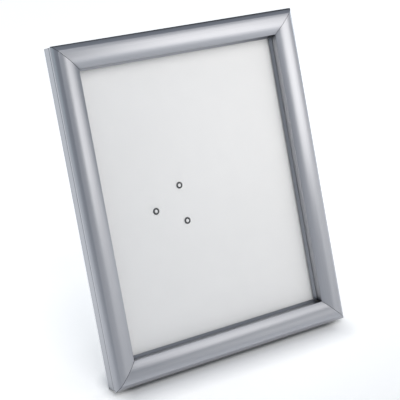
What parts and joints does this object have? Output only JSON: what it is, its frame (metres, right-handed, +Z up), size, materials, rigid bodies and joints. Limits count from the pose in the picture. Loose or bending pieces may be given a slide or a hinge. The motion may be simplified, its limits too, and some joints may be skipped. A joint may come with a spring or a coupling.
{
  "type": "poster frame",
  "caption": "Counter-standing poster frame with mitred metal rails, snap-open front lids, clear cover sheet, white backing panel and a folding back strut.",
  "frame": {"origin": "on the surface that the frame stands on, under the middle of the box that the leaning frame fills", "axes": "+Z up, front of the frame towards -Y and leaning back 20 degrees towards +Y, +X to the right seen from the front"},
  "size_m": [0.2342, 0.1132, 0.2719],
  "materials": {
    "satin_anodised": "satin silver anodised, drawn along the rails",
    "milled_aluminium": "milled",
    "zinc_plated": "zinc plated",
    "spring_steel": "oiled spring strip",
    "clear_sheet": "clear non-glare plastic",
    "white_board": "matt white sheet",
    "rubber_foot": "moulded"
  },
  "bodies": {
    "frame": {"base_rail_bottom": "satin_anodised", "base_rail_left": "satin_anodised", "base_rail_top": "satin_anodised", "base_rail_right": "satin_anodised", "corner_key_bottom_left": "milled_aluminium", "corner_key_top_left": "milled_aluminium", "corner_key_top_right": "milled_aluminium", "corner_key_bottom_right": "milled_aluminium", "key_screw_bottom_left_a": "zinc_plated", "key_screw_bottom_left_b": "zinc_plated", "key_screw_top_left_a": "zinc_plated", "key_screw_top_left_b": "zinc_plated", "key_screw_top_right_a": "zinc_plated", "key_screw_top_right_b": "zinc_plated", "key_screw_bottom_right_a": "zinc_plated", "key_screw_bottom_right_b": "zinc_plated", "lid_spring_bottom_a": "spring_steel", "lid_spring_bottom_b": "spring_steel", "lid_spring_left_a": "spring_steel", "lid_spring_left_b": "spring_steel", "lid_spring_top_a": "spring_steel", "lid_spring_top_b": "spring_steel", "lid_spring_right_a": "spring_steel", "lid_spring_right_b": "spring_steel", "cover_sheet": "clear_sheet", "backing_panel": "white_board", "strut_rivet_1": "zinc_plated", "strut_rivet_2": "zinc_plated", "strut_rivet_3": "zinc_plated", "strut_plate": "zinc_plated", "strut_pin": "zinc_plated"},
    "lid_bottom": {"lid_bottom": "satin_anodised"},
    "lid_left": {"lid_left": "satin_anodised"},
    "lid_top": {"lid_top": "satin_anodised"},
    "lid_right": {"lid_right": "satin_anodised"},
    "strut": {"strut_leg": "zinc_plated", "strut_foot": "rubber_foot"}
  },
  "joints": [
    {"name": "lid_bottom_open", "type": "hinge", "parent": "frame", "child": "lid_bottom", "pos_m": [0, -0.05133, 0.00482], "axis": [1, 0, 0], "range_deg": [0, 80]},
    {"name": "lid_left_open", "type": "hinge", "parent": "frame", "child": "lid_left", "pos_m": [-0.1156, -0.00311, 0.13732], "axis": [0, -0.342, -0.9397], "range_deg": [0, 80]},
    {"name": "lid_top_open", "type": "hinge", "parent": "frame", "child": "lid_top", "pos_m": [0, 0.04512, 0.26982], "axis": [-1, 0, 0], "range_deg": [0, 80]},
    {"name": "lid_right_open", "type": "hinge", "parent": "frame", "child": "lid_right", "pos_m": [0.1156, -0.00311, 0.13732], "axis": [0, 0.342, 0.9397], "range_deg": [0, 80]},
    {"name": "strut_fold", "type": "hinge", "parent": "frame", "child": "strut", "pos_m": [-0.028, 0.00924, 0.12623], "axis": [-1, 0, 0], "range_deg": [0, 34]}
  ]
}
